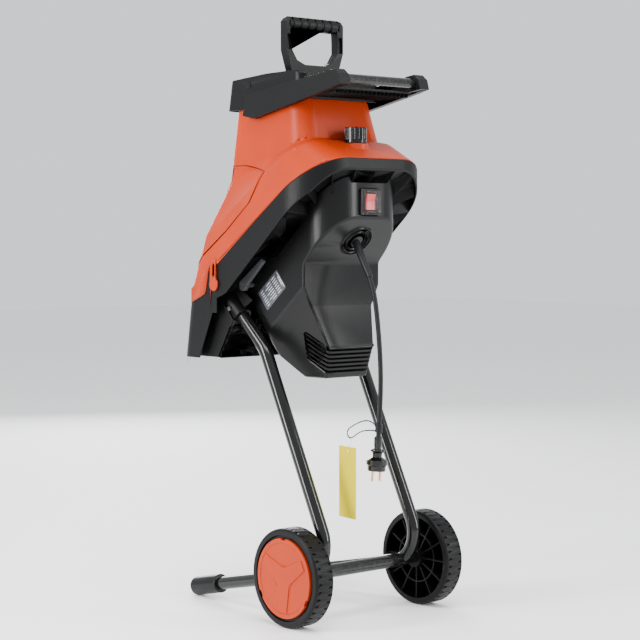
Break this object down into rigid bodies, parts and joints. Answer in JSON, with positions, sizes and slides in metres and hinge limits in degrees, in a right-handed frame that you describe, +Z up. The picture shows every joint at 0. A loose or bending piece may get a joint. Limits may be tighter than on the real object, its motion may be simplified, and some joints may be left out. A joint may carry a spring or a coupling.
{
  "type": "garden shredder",
  "caption": "Upright electric wood chipper on a two-wheeled tube frame, with a feed hopper, plunger pusher, knob-locked hinged cover and front discharge chute.",
  "frame": {"origin": "middle of the footprint on the ground: halfway across, and halfway between the back of the wheels and the front of the feet", "axes": "+X across the machine, +Y forward to the discharge side, +Z up"},
  "size_m": [0.3736, 0.44, 1.117],
  "materials": {
    "orange_plastic": "satin moulded",
    "black_plastic": "fine moulded grain",
    "glossy_black_plastic": "gloss",
    "black_tube": "gloss paint",
    "bare_steel": "machined",
    "cast_metal": "as cast",
    "copper": "bare copper",
    "black_rubber": "smooth",
    "carbon": "sooty",
    "clear_plastic": "clear",
    "red_plastic": "gloss",
    "grey_plastic": "smooth",
    "yellow_card": "smooth",
    "white_string": "twisted",
    "label_film": "printed film"
  },
  "bodies": {
    "frame": {"left_leg": "black_tube", "right_leg": "black_tube", "cross_tube": "black_tube", "left_foot_cap": "black_plastic", "right_foot_cap": "black_plastic", "axle": "bare_steel", "left_axle_spacer": "black_plastic", "right_axle_spacer": "black_plastic", "axle_washers": "bare_steel", "lower_housing": "black_plastic", "hinge_pins": "bare_steel", "motor_housing": "black_plastic", "motor_housing_screws": "bare_steel", "leg_screws": "bare_steel", "switch_frame": "black_plastic", "switch_cover": "clear_plastic", "cord_sleeve": "black_rubber", "cord": "black_rubber", "plug": "glossy_black_plastic", "plug_pins": "copper", "cord_strap": "black_rubber", "hang_tag": "yellow_card", "tag_string": "white_string", "motor_bracket": "cast_metal", "stator_core": "bare_steel", "field_coils": "copper", "upper_motor_bearing": "bare_steel", "lower_motor_bearing": "bare_steel", "tail_bracket": "black_plastic", "carbon_brushes": "carbon", "bearing_carrier": "cast_metal", "upper_spindle_bearing": "bare_steel", "lower_spindle_bearing": "bare_steel", "drive_belt": "black_rubber", "rating_label": "label_film", "cord_hook": "grey_plastic"},
    "left_wheel": {"left_wheel": "black_plastic", "left_hubcap": "orange_plastic"},
    "right_wheel": {"right_wheel": "black_plastic", "right_hubcap": "orange_plastic"},
    "hopper": {"upper_housing": "orange_plastic", "hopper_collar": "black_plastic", "handle_bar": "black_tube"},
    "pusher": {"pusher": "black_plastic"},
    "knob": {"locking_knob": "glossy_black_plastic", "knob_screw": "bare_steel"},
    "rocker": {"rocker": "red_plastic"},
    "cutter": {"spindle": "bare_steel", "cutter_disc": "bare_steel", "cutter_blades": "bare_steel", "blade_screws": "bare_steel", "spindle_nut": "bare_steel", "large_pulley": "cast_metal"},
    "armature": {"motor_shaft": "bare_steel", "armature_core": "bare_steel", "commutator": "copper", "motor_fan": "black_plastic", "small_pulley": "cast_metal"}
  },
  "joints": [
    {"name": "left_wheel_spin", "type": "hinge", "parent": "frame", "child": "left_wheel", "pos_m": [-0.163, -0.13, 0.09], "axis": [1, 0, 0], "continuous": true},
    {"name": "right_wheel_spin", "type": "hinge", "parent": "frame", "child": "right_wheel", "pos_m": [0.163, -0.13, 0.09], "axis": [1, 0, 0], "continuous": true},
    {"name": "hopper_hinge", "type": "hinge", "parent": "frame", "child": "hopper", "pos_m": [0, 0.212, 0.582], "axis": [-1, 0, 0], "range_deg": [0, 80]},
    {"name": "pusher_slide", "type": "slide", "parent": "hopper", "child": "pusher", "axis": [0, 0, 1], "range_m": [0, 0.26]},
    {"name": "knob_turn", "type": "hinge", "parent": "hopper", "child": "knob", "pos_m": [0, -0.119, 0.877], "axis": [0, 0, 1], "continuous": true},
    {"name": "rocker_tilt", "type": "hinge", "parent": "frame", "child": "rocker", "pos_m": [0, -0.155, 0.768], "axis": [-1, 0, 0], "range_deg": [0, 12]},
    {"name": "cutter_spin", "type": "hinge", "parent": "frame", "child": "cutter", "pos_m": [0, 0.018, 0.7], "axis": [0, 0.6428, 0.766], "continuous": true},
    {"name": "armature_spin", "type": "hinge", "parent": "frame", "child": "armature", "pos_m": [0, 0.07928, 0.64858], "axis": [0, 0.6428, 0.766], "continuous": true}
  ],
  "couplings": [
    {"joint": "armature_spin", "follows": "cutter_spin", "ratio": 5}
  ]
}
